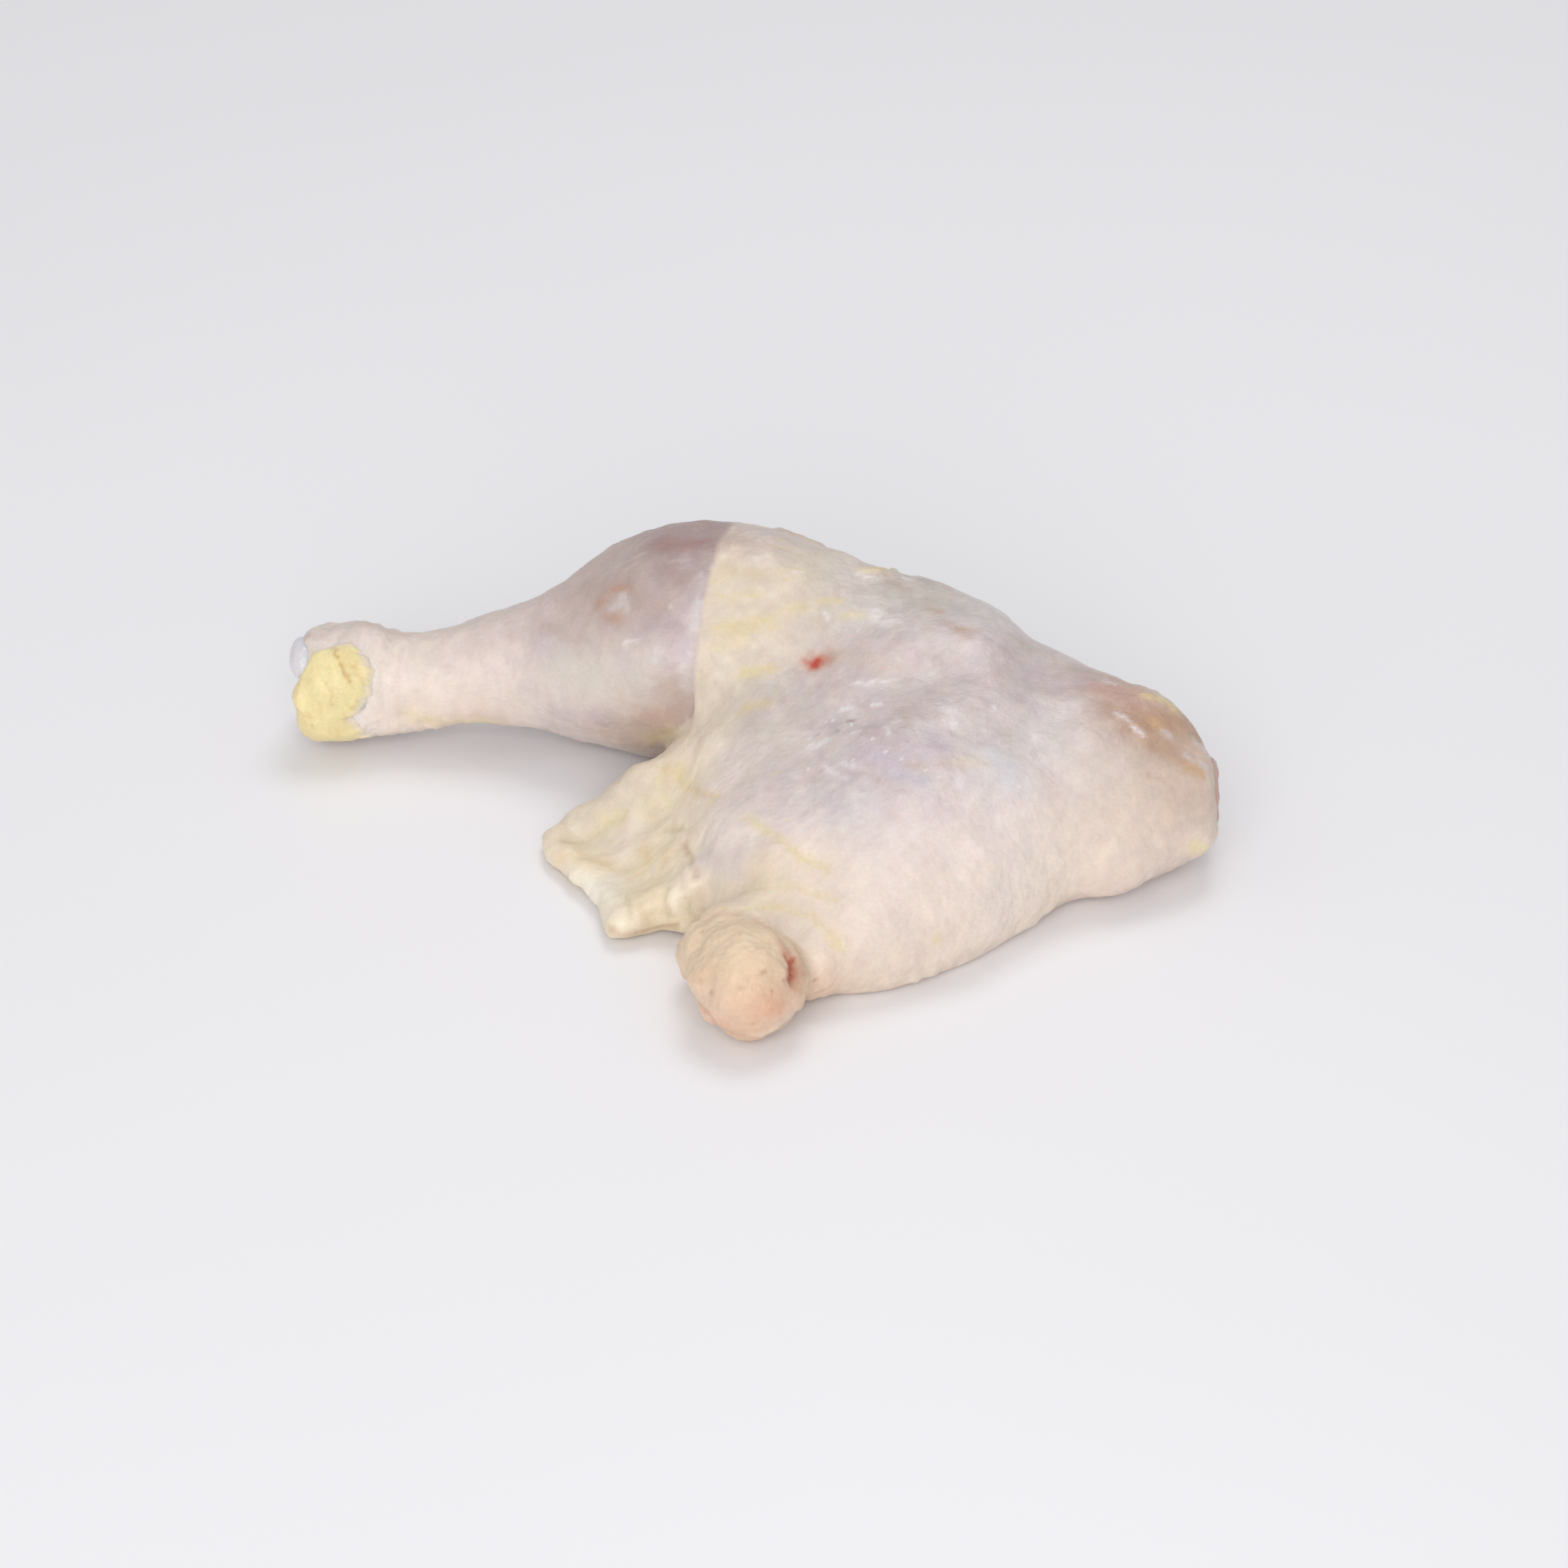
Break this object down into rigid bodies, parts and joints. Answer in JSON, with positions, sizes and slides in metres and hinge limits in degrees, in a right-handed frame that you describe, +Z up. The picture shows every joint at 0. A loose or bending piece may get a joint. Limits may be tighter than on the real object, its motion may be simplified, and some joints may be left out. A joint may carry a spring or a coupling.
{
  "type": "raw chicken leg",
  "caption": "Raw chicken leg, drumstick and thigh in one skin, with a tail nub and a flap of belly skin, lying on its inner side.",
  "frame": {"origin": "on the surface that the leg lies on, under the middle of the whole leg", "axes": "+X from the hock to the cut at the hip, +Y away from the tail side, +Z up"},
  "size_m": [0.1762, 0.131, 0.0446],
  "materials": {
    "skin": "moist raw poultry skin, cream to lavender pink, semi-gloss",
    "flesh": "moist raw flesh, mauve brown",
    "cartilage": "wet bluish-white gristle",
    "scale_skin": "yellow scaly shank skin, satin"
  },
  "bodies": {
    "root": {"leg_skin": "skin", "thigh_meat": "flesh", "hock_cartilage": "cartilage", "hock_scale_skin": "scale_skin"}
  },
  "joints": []
}
